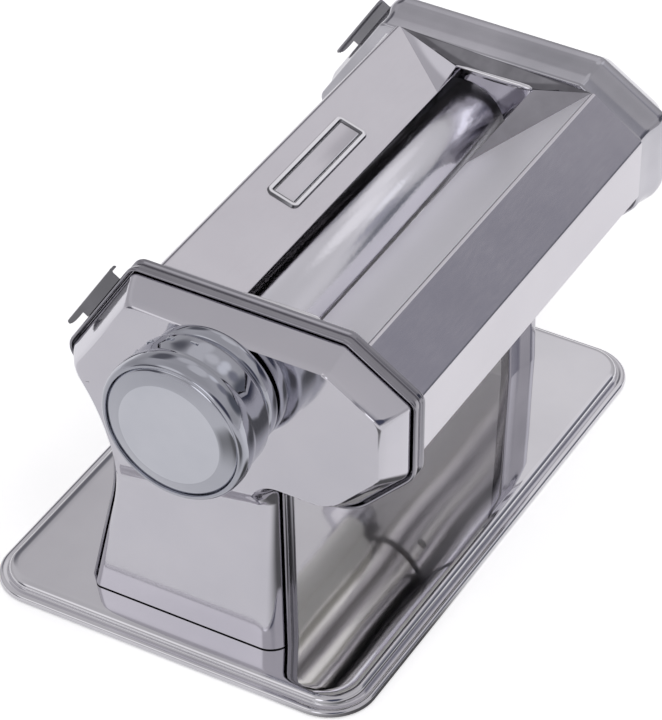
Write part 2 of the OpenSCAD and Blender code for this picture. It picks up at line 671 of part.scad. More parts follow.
module knob_screw() color([0.55, 0.55, 0.57]) {
    rod(-seat_end, -seat_end - 1, hub_r, shaft_y, shaft_z);
    rod(-seat_end - 1, -seat_end - 1 - head_l, 3.8, shaft_y, shaft_z);
    rod(-seat_end + 8, -seat_end, knob_screw_r - run_gap, shaft_y, shaft_z);
}

module index_pin() color([0.6, 0.6, 0.62]) {
    rod(-left_web, -knob_back - groove_l + 0.6, index_pin_r, shaft_y, shaft_z - index_circle_r);
    rod(-left_web + 1, -left_web, index_pin_r + 1.4, shaft_y, shaft_z - index_circle_r);
}

// ---- bearing bridge ----

post_r = 3;
post_end_r = 2;
post_reach = gear_tip_r + eccentric + post_r + 2 * free_gap; // from a gear's axis to a post beside it
post_places = [[(shaft_y + drive_y) / 2, axis_z - gear_tip_r - 4],
    [shaft_y, shaft_z] + turned([post_reach, 0], 164), [drive_y, axis_z] + turned([post_reach, 0], -22)];
module at_posts() for (p = post_places) translate([0, p[0], p[1]]) children();
module in_plate_at_posts() for (p = post_places) translate(p) children();

module bearing_bridge() color([0.6, 0.6, 0.62]) along_x(bridge_x, bridge_t) difference() {
    hull() {
        translate([shaft_y, shaft_z]) circle(r = 9);
        translate([drive_y, axis_z]) circle(r = 13);
        in_plate_at_posts() circle(r = post_r + 1.6);
    }
    translate([shaft_y, shaft_z]) circle(r = tail_r + 1.8);
    translate([drive_y, axis_z]) circle(r = drive_bush_r);
    in_plate_at_posts() circle(r = post_end_r + run_gap);
}

module bridge_posts() color([0.62, 0.62, 0.64]) at_posts() {
    rod(right_web + plate_t, bridge_x, post_r, 0, 0);
    rod(right_web, right_web + plate_t, post_end_r, 0, 0);
}

module bridge_screws() color([0.5, 0.5, 0.52]) at_posts() {
    rod(bridge_x + bridge_t, bridge_x + bridge_t + head_l, post_r + 0.8, 0, 0);
    rod(bridge_x, bridge_x + bridge_t, post_end_r, 0, 0);
}

// ---- scrapers ----

scraper_clear = 0.7;            // from a roller to the middle of the scraper's edge

// Strip whose edge runs just under a roller, held round the low tie rod
module scraper(tie, edge) {
    dir = unit(edge - tie);
    along_x(hopper_left, hopper_l) difference() {
        union() {
            polygon([tie - left_of(dir) * 1.2, edge - left_of(dir) * 0.4, edge + left_of(dir) * 0.4,
                tie + left_of(dir) * 1.2]);
            translate(tie) circle(r = tie_r + 1.2);
        }
        translate(tie) circle(r = tie_r);
    }
}

module front_scraper() color([0.85, 0.85, 0.82])
    scraper(tie_places[1], [shaft_y, shaft_z] + turned([roller_r + scraper_clear, 0], 245));
module rear_scraper() color([0.85, 0.85, 0.82])
    scraper(tie_places[2], [drive_y, axis_z] + turned([roller_r + scraper_clear, 0], 295));

base_plate();
base_pad();
foot_screws();
foot_nuts();
left_side_plate();
right_side_plate();
left_cover();
right_cover();
front_guard();
rear_guard();
left_hopper_end();
right_hopper_end();
tie_rods();
tie_rod_nuts();
drive_roller();
drive_gear();
gear_pin();
drive_bushes();
drive_clip();
adjustable_roller();
adjustable_gear();
roller_sleeve();
eccentric_shaft();
eccentric_bushes();
bearing_bridge();
bridge_posts();
bridge_screws();
regulator_knob();
knob_cap();
knob_spring();
knob_screw();
index_pin();
front_scraper();
rear_scraper();
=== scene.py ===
"""Pasta roller machine: its looks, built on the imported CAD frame.

Shapes are written in millimetres and become metres in piece(). Outlines are in (y, z), and the
pieces are lofted or turned along X.
"""
import json
import math
import bmesh
import bpy
from mathutils import Matrix, Vector


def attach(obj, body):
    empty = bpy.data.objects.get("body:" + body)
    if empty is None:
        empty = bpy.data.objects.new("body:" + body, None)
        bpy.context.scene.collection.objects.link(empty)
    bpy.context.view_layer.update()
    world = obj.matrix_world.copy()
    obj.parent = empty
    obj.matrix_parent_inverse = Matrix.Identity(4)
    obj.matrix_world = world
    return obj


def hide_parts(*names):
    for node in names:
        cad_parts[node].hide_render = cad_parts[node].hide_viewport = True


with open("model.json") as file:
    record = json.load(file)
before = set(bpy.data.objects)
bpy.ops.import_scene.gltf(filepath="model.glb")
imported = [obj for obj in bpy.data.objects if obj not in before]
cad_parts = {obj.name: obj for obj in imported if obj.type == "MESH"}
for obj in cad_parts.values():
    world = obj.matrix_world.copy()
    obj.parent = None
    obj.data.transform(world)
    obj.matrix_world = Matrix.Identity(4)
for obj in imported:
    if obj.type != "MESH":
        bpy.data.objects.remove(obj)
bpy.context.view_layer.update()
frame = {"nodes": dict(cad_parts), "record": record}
MM = 0.001

# ---------------------------------------------------------------- shared sizes, as in the CAD

BASE_TOP = 6.6                  # upper face of the base plate
RIM = 97.2                      # outer edge of both side rims
LEFT_WEB, RIGHT_WEB = 90.2, 78.8  # webs of the side frames, as distances from the middle
WEB_GAP = 0.05                  # between a web and the sheets that end at it
HEAD_FACE, LEG_FACE = 107.5, 102.0  # flat faces of the casings
SHAFT = (-19.144, 126.9125)     # regulator's axis, y and z
ROLLER = (-20.4, 127.6375)      # adjustable roller's axis at rest
LEG_EDGE = 39.6                 # front edge of the legs, ahead of the middle

# outline of the side frames: y, z and radius, which is negative in a hollow corner
FRAME_CORNERS = [
    (47.0, -20.0, 0), (26.3, 76.8, -70), (48.5, 110.8, 7), (20.7, 155.0, 6), (-63.5, 155.0, 6),
    (-90.3, 138.0, 5), (-90.3, 106.3, 10), (-66.6, 81.0, 20), (-LEG_EDGE, 81.0, -3),
    (-42.3, -20.0, 0)]

# the rims' rear slope, from its upper corner
SLOPE_TOP = Vector((20.7, 155.0))
SLOPE = Vector((27.8, -44.2)).normalized()
SLOPE_LENGTH = 44.2 / -SLOPE.y
SLOPE_OUT = Vector((-SLOPE.y, SLOPE.x))

# the two slopes of the hopper, as lines through two points (y, z)
FRONT_SLOPE = ((-36.0, 131.6), (-68.3, 151.4))
REAR_SLOPE = ((-15.3, 145.7), (12.7, 154.4))
REAR_TILT = math.atan2(8.7, 28.0)


def on_slope(s, h):
    """Point at distance s down the rims' rear slope and height h off it, as y and z."""
    p = SLOPE_TOP + SLOPE * s + SLOPE_OUT * h
    return (p.x, p.y)


def height_on(line, y):
    """Height of a line through two points (y, z) at y."""
    (y0, z0), (y1, z1) = line
    return z0 + (z1 - z0) * (y - y0) / (y1 - y0)


def clamp(t):
    return max(0.0, min(1.0, t))


# ---------------------------------------------------------------- outlines

MIN_RADIUS = 0.5                # least radius that an inset leaves of a round corner
WIDE_RADIUS = 30                # beyond it, an arc gets three times the points
BEND_STEPS = 6                  # pieces of a sheet's bend


def left_of(v):
    return Vector((-v.y, v.x))


def at_corner(corners, i):
    """Corner i of a closed outline, and the directions into and out of it."""
    q = Vector(corners[i][:2])
    u = (q - Vector(corners[i - 1][:2])).normalized()
    v = (Vector(corners[(i + 1) % len(corners)][:2]) - q).normalized()
    return q, u, v


def mitre(u, v, d):
    """Step from a corner to the same corner of the outline that lies d to the left."""
    return (left_of(u) + left_of(v)) * (d / (1 + left_of(u).dot(left_of(v))))


def inset(corners, d, soft=0.0):
    """Closed outline of corners moved inward by d. Outer round corners get soft added."""
    out = []
    for i, (_, _, r) in enumerate(corners):
        q, u, v = at_corner(corners, i)
        m = mitre(u, v, d)
        if r > 0:
            r = max(r - d, MIN_RADIUS) + soft
        elif r < 0:
            r -= d
        out.append((q.x + m.x, q.y + m.y, r))
    return out


def arc_points(q, u, v, r, steps):
    """Arc of radius r that rounds the corner q between directions u and v. r < 0 turns right."""
    a = math.acos(max(-1, min(1, u.dot(v))))
    side = 1 if r > 0 else -1
    o = q - u * (abs(r) * math.tan(a / 2)) + left_of(u) * r
    w = -left_of(u) * r
    pts = []
    for k in range(steps + 1):
        t = side * a * k / steps
        pts.append(o + Vector((w.x * math.cos(t) - w.y * math.sin(t),
                               w.x * math.sin(t) + w.y * math.cos(t))))
    return pts


def outline(corners, steps=8, runs=None):
    """Points of a closed outline. runs says into how many pieces the run after a corner is cut."""
    n, groups = len(corners), []
    for i, (_, _, r) in enumerate(corners):
        q, u, v = at_corner(corners, i)
        fine = steps * 3 if abs(r) > WIDE_RADIUS else steps
        groups.append([q] if r == 0 else arc_points(q, u, v, r, fine))
    pts = []
    for i, g in enumerate(groups):
        pts += g
        cuts = runs[i] if runs else 1
        a, b = g[-1], groups[(i + 1) % n][0]
        pts += [a.lerp(b, k / cuts) for k in range(1, cuts)]
    return pts


def round_box(length, width, radius):
    """Corners of a rectangle from -length to length by -width to width."""
    return [(length, -width, radius), (length, width, radius),
            (-length, width, radius), (-length, -width, radius)]


def open_path(corners):
    """Points of an open path of corners (y, z, bend radius)."""
    pts, n = [], len(corners)
    for i, (_, _, r) in enumerate(corners):
        q, u, v = at_corner(corners, i)
        if i in (0, n - 1) or r == 0:
            pts.append(q)
        else:
            turn = 1 if u.cross(v) > 0 else -1
            pts += arc_points(q, u, v, turn * r, BEND_STEPS)
    return pts


def strip(pts, t):
    """Closed outline of a sheet of thickness t to the left of a path."""
    back, n = [], len(pts)
    for i in range(n - 1, -1, -1):
        u = (pts[max(i, 1)] - pts[max(i, 1) - 1]).normalized()
        v = (pts[min(i, n - 2) + 1] - pts[min(i, n - 2)]).normalized()
        back.append(pts[i] + mitre(u, v, t))
    return list(pts) + back


# ---------------------------------------------------------------- pieces

WELD = 1e-4                     # points nearer than this become one
ON_PLANE = 1e-5                 # points nearer than this to a cutting plane lie on it
LATHE_STEPS = 128               # faces round a turned piece


def to_scene(name, data):
    o = bpy.data.objects.new(name, data)
    bpy.context.scene.collection.objects.link(o)
    return o


def shade(mesh, angle):
    """Smooth shading with sharp edges beyond an angle in degrees."""
    mesh.polygons.foreach_set("use_smooth", [True] * len(mesh.polygons))
    mesh.set_sharp_from_angle(angle=math.radians(angle))


def round_edges(o, width, angle):
    m = o.modifiers.new("edges", "BEVEL")
    m.width, m.segments = width * MM, 2
    m.limit_method, m.angle_limit = "ANGLE", math.radians(angle)


def piece(name, bm, body, material, replaces=(), angle=28, bevel=0.0, flats=False):
    """A shown piece from a bmesh in millimetres, riding on a CAD body.

    With flats, wide faces are shaded flat and the bend is left to the narrow ones.
    """
    bmesh.ops.remove_doubles(bm, verts=bm.verts, dist=WELD)
    bmesh.ops.recalc_face_normals(bm, faces=bm.faces)
    bm.transform(Matrix.Scale(MM, 4))
    me = bpy.data.meshes.new(name)
    bm.to_mesh(me)
    bm.free()
    shade(me, angle)
    o = to_scene(name, me)
    me.materials.append(material)
    if bevel:
        round_edges(o, bevel, angle)
    if flats:
        m = o.modifiers.new("flats", "WEIGHTED_NORMAL")
        m.keep_sharp = True
    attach(o, body)
    if replaces:
        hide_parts(*replaces)
    return o


def loft(bm, loops, caps=(True, True)):
    """Skin through closed loops of equal length. caps says whether each end is closed."""
    rows = [[bm.verts.new(p) for p in l] for l in loops]
    n = len(rows[0])
    for a, b in zip(rows, rows[1:]):
        for i in range(n):
            j = (i + 1) % n
            bm.faces.new((a[i], a[j], b[j], b[i]))
    for row, cap in ((rows[0], caps[0]), (rows[-1], caps[1])):
        if cap:
            bm.faces.new(row)


def lathe(bm, profile, y, z, sign=1, closed=False):
    """Profile of (x, radius) turned about the line along X through y, z. Radius 0 is the axis."""
    steps = LATHE_STEPS
    rings = []
    for x, r in profile:
        turns = [2 * math.pi * k / steps for k in range(steps)] if r > 0 else [0.0]
        rings.append([bm.verts.new((sign * x, y + r * math.cos(a), z + r * math.sin(a)))
                      for a in turns])
    for a, b in list(zip(rings, rings[1:])) + ([(rings[-1], rings[0])] if closed else []):
        for k in range(steps):
            j = (k + 1) % steps
            if len(a) == 1:
                bm.faces.new((a[0], b[j], b[k]))
            elif len(b) == 1:
                bm.faces.new((a[k], a[j], b[0]))
            else:
                bm.faces.new((a[k], a[j], b[j], b[k]))


def cut(bm, z, normal, **options):
    """Cut all of a bmesh by the plane through height z on the Z axis."""
    geom = [*bm.verts, *bm.edges, *bm.faces]
    return bmesh.ops.bisect_plane(bm, geom=geom, dist=ON_PLANE, plane_co=(0, 0, z),
                                  plane_no=normal, **options)


def cut_below(bm, z):
    """Drop what is under height z and close the cut."""
    r = cut(bm, z, (0, 0, 1), clear_inner=True)
    edges = [e for e in r["geom_cut"] if isinstance(e, bmesh.types.BMEdge)]
    bmesh.ops.holes_fill(bm, edges=edges, sides=0)


# ---------------------------------------------------------------- materials

def node(tree, kind, x=0, y=0, **values):
    """New node. A value goes to the input of that name, or else to the node's own setting."""
    n = tree.nodes.new(kind)
    n.location = (x, y)
    for k, v in values.items():
        if k in n.inputs:
            n.inputs[k].default_value = v
        else:
            setattr(n, k, v)
    return n


def noise(tree, vector, x, y, **values):
    n = node(tree, "ShaderNodeTexNoise", x, y, **values)
    tree.links.new(vector, n.inputs["Vector"])
    return n.outputs["Fac"]


def remap(tree, value, source, target, x, y, smooth=False):
    """Value moved from the range source to the range target."""
    n = node(tree, "ShaderNodeMapRange", x, y)
    if smooth:
        n.interpolation_type = "SMOOTHSTEP"
    for key, end in zip(("From Min", "From Max", "To Min", "To Max"), (*source, *target)):
        n.inputs[key].default_value = end
    tree.links.new(value, n.inputs["Value"])
    return n.outputs[0]


def combine(tree, operation, a, b, x, y):
    n = node(tree, "ShaderNodeMath", x, y, operation=operation)
    tree.links.new(a, n.inputs[0])
    tree.links.new(b, n.inputs[1])
    return n.outputs[0]


def two_tones(tree, fac, dark, tone, stops, x, y):
    """Colour that goes from dark to tone between the two stops of fac."""
    n = node(tree, "ShaderNodeValToRGB", x, y)
    for stop, place, colour in zip(n.color_ramp.elements, stops, (dark, tone)):
        stop.position, stop.color = place, (*colour, 1)
    tree.links.new(fac, n.inputs["Fac"])
    return n.outputs["Color"]


def bump(tree, height, strength, distance, under, x, y):
    """Bump whose full height is distance metres, on top of the bump under it, if there is one."""
    n = node(tree, "ShaderNodeBump", x, y, Strength=strength, Distance=distance)
    tree.links.new(height, n.inputs["Height"])
    if under:
        tree.links.new(under, n.inputs["Normal"])
    return n.outputs["Normal"]


def new_material(name, slot, **values):
    """Material with one Principled shader: the material, its tree, the shader, coordinates."""
    m = bpy.data.materials.new(name)
    m.use_nodes = True
    m["slot"] = slot
    t = m.node_tree
    t.nodes.clear()
    out = node(t, "ShaderNodeOutputMaterial", 900)
    shader = node(t, "ShaderNodeBsdfPrincipled", 600, **values)
    t.links.new(shader.outputs[0], out.inputs[0])
    co = node(t, "ShaderNodeTexCoord", -900).outputs["Object"]
    return m, t, shader, co


TONE_STOPS = (0.36, 0.66)       # of the clouds, between a steel's darker and lighter tone
RUB_RANGE = (0.12, 0.42)        # of the rubbing marks, between its lowest and highest roughness
REAR_EDGE = (-0.052, -0.036)    # y in metres over which satin_rear sets in
MARK_SCALE, PATCH_SCALE = 900.0, 42.0   # of the noise of the marks and of the smudges


def metal(name, slot, tone, dark, rough, stretch=(1, 1, 1), wave=0.0, grain=0.0,
          wave_scale=18.0, smudge=0.06, satin_rear=0.0, metallic=1.0):
    """Steel with slow clouds in its tone, and smudges and rubbing marks in its roughness.

    wave is the strength of the sheet's swell, grain that of the marks, which stretch makes long.
    satin_rear is how much rougher the piece is behind REAR_EDGE than ahead of it.
    """
    m, t, shader, co = new_material(name, slot, Metallic=metallic)
    mapping = node(t, "ShaderNodeMapping", -700, Scale=stretch)
    t.links.new(co, mapping.inputs["Vector"])
    clouds = noise(t, co, -450, 200, Scale=wave_scale, Detail=4.0, Roughness=0.55)
    colour = two_tones(t, clouds, dark, tone, TONE_STOPS, -200, 250)
    t.links.new(colour, shader.inputs["Base Color"])
    marks = noise(t, mapping.outputs["Vector"], -450, -100,
                  Scale=MARK_SCALE, Detail=3.0, Roughness=0.6)
    patches = noise(t, co, -450, -350, Scale=PATCH_SCALE, Detail=5.0, Roughness=0.65)
    rubbed = combine(t, "MULTIPLY", marks, patches, -200, -150)
    roughness = remap(t, rubbed, RUB_RANGE, (rough, rough + smudge), 50, -150)
    if satin_rear:
        place = node(t, "ShaderNodeSeparateXYZ", -200, -500)
        t.links.new(co, place.inputs[0])
        more = remap(t, place.outputs["Y"], REAR_EDGE, (0.0, satin_rear), 50, -500, smooth=True)
        roughness = combine(t, "ADD", roughness, more, 300, -100)
    t.links.new(roughness, shader.inputs["Roughness"])
    normal = None
    if wave:
        swell = noise(t, co, 50, -300, Scale=wave_scale, Detail=0.6, Roughness=0.4)
        normal = bump(t, swell, wave, 0.001, normal, 300, -300)
    if grain:
        normal = bump(t, marks, grain, 0.0001, normal, 450, -300)
    if normal:
        t.links.new(normal, shader.inputs["Normal"])
    return m


def plastic(name, slot, tone, dark, rough, scale, strength):
    """Rubber or plastic: one noise of the given scale moves tone, roughness and a fine bump."""
    m, t, shader, co = new_material(name, slot)
    mottle = noise(t, co, -350, 100, Scale=scale, Detail=5.0, Roughness=0.6)
    colour = two_tones(t, mottle, dark, tone, (0.0, 1.0), -100, 200)
    t.links.new(colour, shader.inputs["Base Color"])
    roughness = remap(t, mottle, (0.0, 1.0), (rough - 0.08, rough + 0.1), -100, -80)
    t.links.new(roughness, shader.inputs["Roughness"])
    t.links.new(bump(t, mottle, strength, 0.0002, None, 150, -250), shader.inputs["Normal"])
    return m


# The steels of one slot differ in tone as painted reflection: each tone stands for the brightness
# of what its pieces mirror. tone and dark are the two ends of a steel's clouds.
STEEL = metal("polished_steel_m", "polished_steel", (0.70, 0.685, 0.735), (0.64, 0.63, 0.68),
              0.055, wave=0.10)
# painted shade: the near rim's darker copy of the polished steel
RIM_SHADE_STEEL = metal("rim_steel_m", "polished_steel", (0.40, 0.39, 0.425), (0.31, 0.305, 0.33),
                  0.08, wave=0.10)
# painted reflection: the far rim's copy of the polished steel, toned to the brightness it mirrors
FAR_REFLECTION_STEEL = metal("far_rim_painted_reflection_m", "polished_steel", (0.60, 0.59, 0.63), (0.46, 0.455, 0.49),
                  0.09, wave=0.12)
# painted shade: dark copy of the steel for the hollow of the hopper ends
HOLLOW_SHADE_STEEL = metal("hollow_painted_shade_m", "polished_steel", (0.26, 0.255, 0.275),
                     (0.14, 0.137, 0.15), 0.03, wave=1.0, wave_scale=40.0, smudge=0.02)
# painted dark reflection: darker copy of the steel for the front facets of the hopper ends
FACET_REFLECTION_STEEL = metal("facet_painted_reflection_m", "polished_steel", (0.50, 0.49, 0.53), (0.36, 0.35, 0.38),
                    0.06, wave=0.25, wave_scale=30.0)
# painted light: lighter, partly diffuse copy of the steel for the frames' webs
WEB_LIGHT_STEEL = metal("web_painted_light_m", "polished_steel", (0.92, 0.91, 0.94), (0.87, 0.86, 0.89),
                  0.08, wave=0.10, metallic=0.7)
# painted highlight: near white copy of the steel for the badge's rim and the folds' beads
TRIM_HIGHLIGHT_STEEL = metal("trim_painted_highlight_m", "polished_steel", (0.95, 0.94, 0.97), (0.90, 0.89, 0.92),
                   0.12, wave=0.02)
BASE_STEEL = metal("base_steel_m", "polished_steel", (0.80, 0.79, 0.82), (0.73, 0.72, 0.75),
                   0.02, wave=0.5, wave_scale=16.0, smudge=0.02, satin_rear=0.03)
SATIN = metal("satin_steel_m", "polished_steel", (0.95, 0.94, 0.98), (0.91, 0.90, 0.94),
              0.40, metallic=0.55)
CASE_STEEL = metal("case_steel_m", "polished_steel", (0.71, 0.695, 0.74), (0.66, 0.65, 0.70),
                   0.06, wave=0.10)
# painted shade: dark copy of the steel for the rails, which mirror dark, and for the badge's
# groove
RAIL_SHADE_STEEL = metal("rail_painted_shade_m", "polished_steel", (0.26, 0.255, 0.275), (0.18, 0.18, 0.19),
                   0.12, wave=0.05)
PANEL = metal("panel_steel_m", "polished_steel", (0.71, 0.69, 0.73), (0.67, 0.65, 0.69),
              0.14, stretch=(0.15, 1, 1), wave=0.05, smudge=0.07)
KNOB = metal("chrome_knob_m", "chrome_knob", (0.72, 0.73, 0.78), (0.64, 0.655, 0.71),
             0.02, wave=0.05, smudge=0.03)
# painted dark reflection: darker copy of the knob's chrome for its side
KNOB_SIDE_SHADE = metal("knob_side_painted_shade_m", "chrome_knob", (0.52, 0.53, 0.58), (0.46, 0.47, 0.52),
                  0.02, wave=0.05, smudge=0.03)
# painted dark reflection: darker copy of the knob's chrome for the cap's outer ring
KNOB_RING_SHADE = metal("knob_ring_painted_shade_m", "chrome_knob", (0.56, 0.57, 0.62), (0.50, 0.51, 0.56),
                  0.02, wave=0.05, smudge=0.03)
GROUND = metal("ground_steel_m", "ground_steel", (0.92, 0.91, 0.96), (0.88, 0.87, 0.92),
               0.15, stretch=(0.6, 1, 1), grain=0.45, smudge=0.03)
DRIVE_STEEL = metal("under_steel_m", "ground_steel", (0.93, 0.915, 0.87), (0.86, 0.845, 0.80),
                    0.20)
HARDWARE = metal("hardware_m", "hardware", (0.62, 0.61, 0.63), (0.5, 0.5, 0.52),
                 0.24, stretch=(3, 1, 1), grain=0.2)
GEAR = metal("gear_steel_m", "gear_steel", (0.45, 0.45, 0.46), (0.33, 0.33, 0.34),
             0.32, grain=0.3)
BRONZE = metal("bronze_m", "bronze", (0.72, 0.5, 0.24), (0.56, 0.36, 0.15), 0.34, grain=0.25)
RUBBER = plastic("rubber_m", "rubber", (0.05, 0.05, 0.055), (0.03, 0.03, 0.033), 0.7, 600.0, 0.5)
BUSH = plastic("bush_plastic_m", "bush_plastic", (0.86, 0.86, 0.81), (0.78, 0.78, 0.73),
               0.4, 300.0, 0.2)

# the solids that stay in view
SLOT_MATERIAL = {"polished_steel": STEEL, "chrome_knob": KNOB, "ground_steel": GROUND,
                 "hardware": HARDWARE, "gear_steel": GEAR, "bronze": BRONZE, "rubber": RUBBER,
                 "bush_plastic": BUSH}
NODE_MATERIAL = {"drive_roller": DRIVE_STEEL}
for sub in frame["record"]["subparts"]:
    solid = frame["nodes"][sub["node"]].data
    solid.materials.clear()
    solid.materials.append(NODE_MATERIAL.get(sub["node"], SLOT_MATERIAL[sub["material_slot"]]))
    shade(solid, 32)

# ---------------------------------------------------------------- base plate

BASE_CORNERS = round_box(118.0, 77.5, 18.4)
# inset and height: a bead round the foot, a groove and a soft shoulder
BASE_PROFILE = [
    (1.2, 0.62), (0.35, 0.62), (0.05, 0.9), (0.0, 1.4), (0.0, 2.0), (0.15, 2.6), (0.5, 3.05),
    (1.0, 3.32), (1.6, 3.4), (2.2, 3.33), (2.7, 3.2), (3.1, 3.2), (3.4, 3.4), (3.6, 3.8),
    (3.7, 4.4), (3.85, 5.0), (4.2, 5.6), (4.7, 6.05), (5.4, 6.36), (6.3, 6.53), (7.5, BASE_TOP),
    (9.5, BASE_TOP)]
bm = bmesh.new()
loft(bm, [[(p.x, p.y, z) for p in outline(inset(BASE_CORNERS, d), 14)] for d, z in BASE_PROFILE],
     caps=(False, True))
piece("base_shell", bm, "frame", BASE_STEEL, ["base_plate"], flats=True)

# ---------------------------------------------------------------- side frames with rims and rails

# profiles of x and inset, from the web out, round the rim's lip and back inside
RIM_PROFILE = [
    (90.22, 0.9), (90.3, 0.45), (90.55, 0.15), (90.95, 0.0), (91.5, 0.05), (91.8, 0.35),
    (92.1, 0.85), (92.5, 1.0), (95.2, 0.2), (95.8, 0.03), (96.3, 0.0), (96.8, 0.1), (97.1, 0.35),
    (97.2, 0.65), (97.1, 0.95), (96.8, 1.18), (96.3, 1.2), (91.8, 1.25), (91.5, 1.35), (91.4, 1.6)]
LEFT_PROFILE = [(90.2, 4.0), (90.2, 1.4)] + RIM_PROFILE + [(91.4, 5.0)]
RIGHT_PROFILE = [
    (78.8, 6.0), (78.8, 3.0), (78.9, 2.5), (79.3, 2.1), (79.9, 2.0), (84.0, 1.95), (87.0, 1.6),
    (89.0, 1.0), (90.5, 0.45), (91.8, 0.12), (93.2, 0.0), (95.2, 0.03), (96.3, 0.15), (96.9, 0.4),
    (97.2, 0.85), (97.1, 1.15), (96.6, 1.25), (92.6, 1.5), (91.4, 3.0), (91.2, 3.2), (80.3, 3.2),
    (80.05, 3.4), (80.0, 3.8), (80.0, 7.0)]
MANY_SIDES = 20                 # more sides than this: one of a piece's large end faces


def side_frame(name, profile, sign, replaced, steel):
    """Dished frame with its rim, in the given steel, whose tone is painted reflection. Its flat
    webs have a lighter steel of their own: painted light.
    """
    bm = bmesh.new()
    loft(bm, [[(sign * x, p.x, p.y) for p in outline(inset(FRAME_CORNERS, d), 8)]
              for x, d in profile])
    cut_below(bm, BASE_TOP)
    o = piece(name, bm, "frame", steel, [replaced], angle=40, flats=True)
    o.data.materials.append(WEB_LIGHT_STEEL)
    for face in o.data.polygons:
        if abs(face.normal.x) > 0.9 and len(face.vertices) > MANY_SIDES:
            face.material_index = 1


side_frame("left_frame", LEFT_PROFILE, -1, "left_side_plate", RIM_SHADE_STEEL)
side_frame("right_frame", RIGHT_PROFILE, 1, "right_side_plate", FAR_REFLECTION_STEEL)

RAIL_SHEET = 1.1
RAIL_START, ROOT_END, TONGUE = 9.0, 33.5, 9.3   # down the slope: start and end of the root, tongue


def rail(name, sign):
    """The rim's sheet runs out, turns up and comes back over as a hook for an attachment.

    Its outer leg runs on past the root as a tongue with a round end. Points are (out, up).
    """
    def section(drop, low):
        """drop shortens the lip, and low is how high the leg ends."""
        outer = [(-4.2 + drop, 4.1), (-3.6 + drop, 4.75), (-1.3, 4.78), (-0.5, 4.6),
                 (-0.08, 4.1), (0.0, 3.4), (0.0, low)]
        return outer + [(-RAIL_SHEET, low), (-RAIL_SHEET, 3.2),
                        (-1.3, 3.6), (-1.7, 3.75), (-3.9 + drop, 3.72)]

    def placed(points, s):
        return [(sign * (RIM + out), *on_slope(s, up)) for out, up in points]

    bm = bmesh.new()
    loft(bm, [placed(section(0.0, 0.0), s) for s in (RAIL_START, ROOT_END)])
    steps = 10
    tongue = []
    for k in range(steps + 1):
        drop = 2.4 * (1 - math.sqrt(max(0.0, 1 - (k / steps) ** 4)))
        tongue.append(placed(section(drop, 2.3 + drop * 0.6), ROOT_END + TONGUE * k / steps))
    loft(bm, tongue)
    # the rail's dark steel is painted shade: the dark that it mirrors
    piece(name, bm, "frame", RAIL_SHADE_STEEL, angle=35, flats=True)


rail("left_rail", -1)
rail("right_rail", 1)

# ---------------------------------------------------------------- casings

# the wall of the casing as x and inset, on the head and on the leg, and the roundness that each
# of its steps adds to the corners
WALL_FOOT = 2.0
HEAD_WALL = [
    (91.5, WALL_FOOT), (96.4, WALL_FOOT), (97.2, 2.12), (98.2, 2.55), (100.6, 3.9), (103.0, 5.3),
    (105.2, 6.6), (106.1, 7.2), (106.75, 7.75), (107.2, 8.35), (107.43, 9.05), (HEAD_FACE, 9.9),
    (HEAD_FACE, 11.4)]
LEG_WALL = [
    (91.5, WALL_FOOT), (95.0, WALL_FOOT), (96.2, 2.08), (97.2, 2.3), (98.2, 2.8), (99.1, 3.5),
    (99.9, 4.3), (100.6, 5.2), (101.15, 6.1), (101.55, 7.0), (101.85, 8.0), (LEG_FACE, 9.2),
    (LEG_FACE, 10.8)]
CORNER_SOFT = [0, 0, 0.2, 0.6, 1.5, 2.7, 3.6, 4.3, 4.9, 5.4, 5.8, 6.2, 6.6]
RUN_CUTS = [24, 8, 2, 2, 2, 2, 2, 10, 26, 1]    # pieces of the run after each of FRAME_CORNERS
CREASE_Z = 68.0                 # height of the neck's crease at y 0
CREASE_TAN = math.tan(math.radians(12))
CREASE_NORMAL = Vector((0, CREASE_TAN, 1)).normalized()
CREASE_START = 1.5              # the soft step starts this far under the crease
STEP_FRONT, STEP_MORE = 11.0, 15.0      # its width at the front, and what it gains to the rear
STEP_Y, STEP_RUN = -4.0, 20.0   # where that gain starts, and over what length
REAR_DEPTH = 0.5                # share of the wall's inset that is left at the leg's rear edge
REAR_Y, REAR_RUN = -12.0, 24.0  # where the wall starts to turn into that one, and its length
CASING_FOOT = 0.5               # gap to the base plate


def head_share(y, z):
    """0 on the leg, 1 on the head, with a soft step across the neck."""
    above = z - CREASE_Z + CREASE_TAN * y
    ahead = (-LEG_EDGE - y) * 1.3 + 1.0     # all that lies ahead of the leg is head
    span = STEP_FRONT + STEP_MORE * clamp((y - STEP_Y) / STEP_RUN)
    t = clamp((max(above, ahead) + CREASE_START) / span)
    return t * t * (3 - 2 * t)


